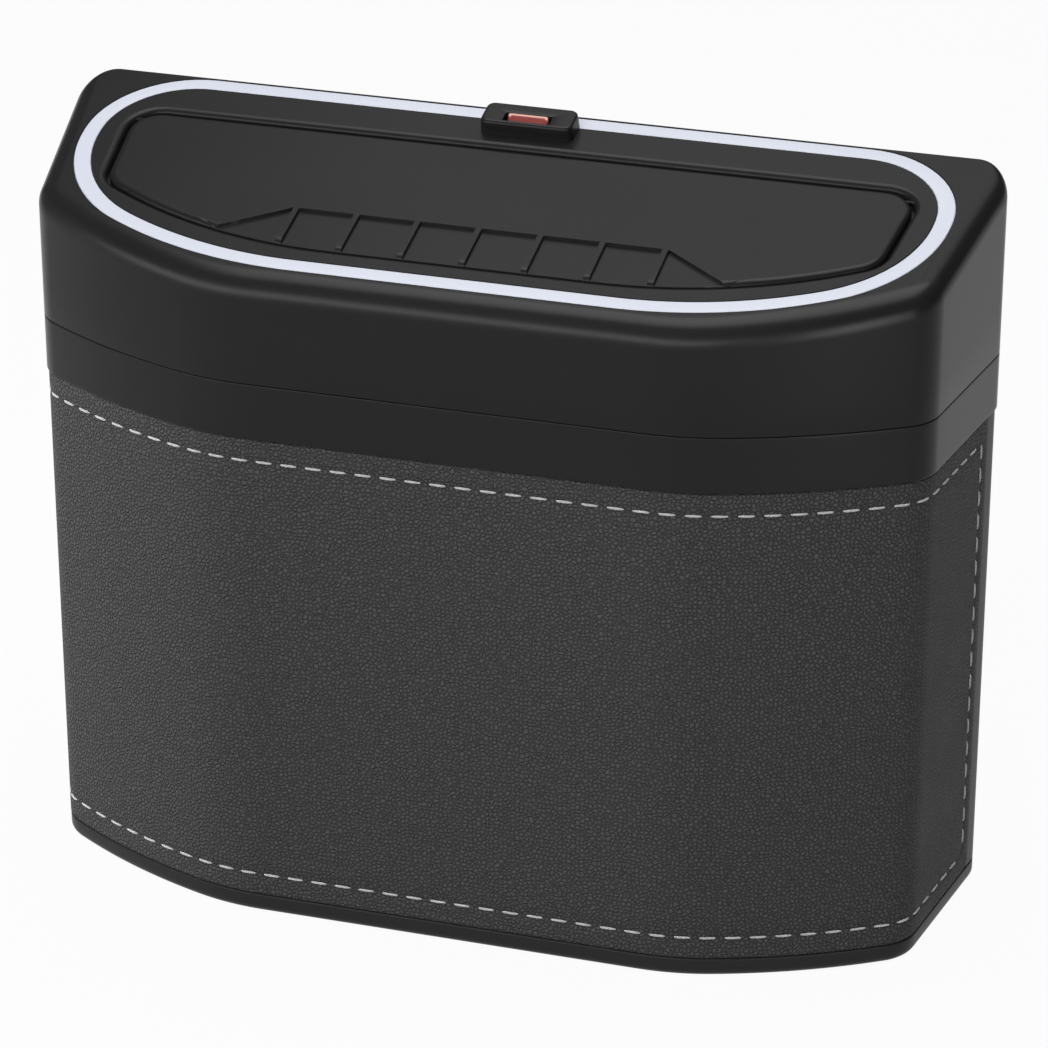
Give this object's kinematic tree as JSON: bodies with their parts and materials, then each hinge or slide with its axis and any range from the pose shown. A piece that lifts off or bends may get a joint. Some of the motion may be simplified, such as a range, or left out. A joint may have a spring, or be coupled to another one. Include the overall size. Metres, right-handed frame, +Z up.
{
  "type": "car trash bin",
  "caption": "Leatherette-wrapped car trash bin: D-shaped tub under a sloping lift-off cover with a flush hinged lid, grip pockets, a white light ring and a red light button.",
  "frame": {"origin": "middle of the base, on the surface that it stands on", "axes": "+X to the right seen from the front, +Y from the bowed front to the flat rear, +Z up"},
  "size_m": [0.2502, 0.0836, 0.2052],
  "materials": {
    "black_plastic": "moulded polypropylene, fine matte",
    "leatherette": "pebbled polyurethane leatherette, satin",
    "thread": "bonded polyester thread",
    "satin_plastic": "moulded ABS, fine spark-eroded satin",
    "diffuser": "opal polycarbonate diffuser",
    "strip": "white flexible circuit",
    "lamp": "lamp resin",
    "red_plastic": "translucent red acrylic",
    "board": "glass-fibre circuit board, green resist",
    "cell_foil": "foil pouch",
    "switch_plastic": "acetal",
    "socket_steel": "nickel-plated",
    "pin_steel": "drawn",
    "plate_steel": "zinc-plated"
  },
  "bodies": {
    "bin": {"bucket": "black_plastic", "leather_wrap": "leatherette", "stitching": "thread", "rim_collar": "satin_plastic"},
    "cover": {"top_cover": "satin_plastic", "inner_frame": "black_plastic", "light_ring": "diffuser", "led_strip": "strip", "led_chips": "lamp", "light_module_case": "satin_plastic", "electronics_cover": "black_plastic", "control_board": "board", "battery_cell": "cell_foil", "push_switch": "switch_plastic", "charge_socket": "socket_steel", "hinge_pins": "pin_steel", "latch_housing": "black_plastic"},
    "lid": {"lid": "satin_plastic", "latch_plate": "plate_steel"},
    "button": {"light_button": "red_plastic"},
    "plunger": {"latch_plunger": "switch_plastic"}
  },
  "joints": [
    {"name": "cover_lift", "type": "slide", "parent": "bin", "child": "cover", "axis": [0, 0, 1], "range_m": [0, 0.06]},
    {"name": "lid_hinge", "type": "hinge", "parent": "cover", "child": "lid", "pos_m": [0, 0.02164, 0.19585], "axis": [-1, 0, 0], "range_deg": [0, 85]},
    {"name": "light_press", "type": "slide", "parent": "cover", "child": "button", "axis": [0, 0.2419, -0.9703], "range_m": [0, 0.0008], "stiffness_N_per_m": 500, "springref_m": -0.0005},
    {"name": "latch_press", "type": "slide", "parent": "cover", "child": "plunger", "axis": [0, 0.2419, -0.9703], "range_m": [0, 0.0012], "stiffness_N_per_m": 300, "springref_m": -0.0005}
  ]
}
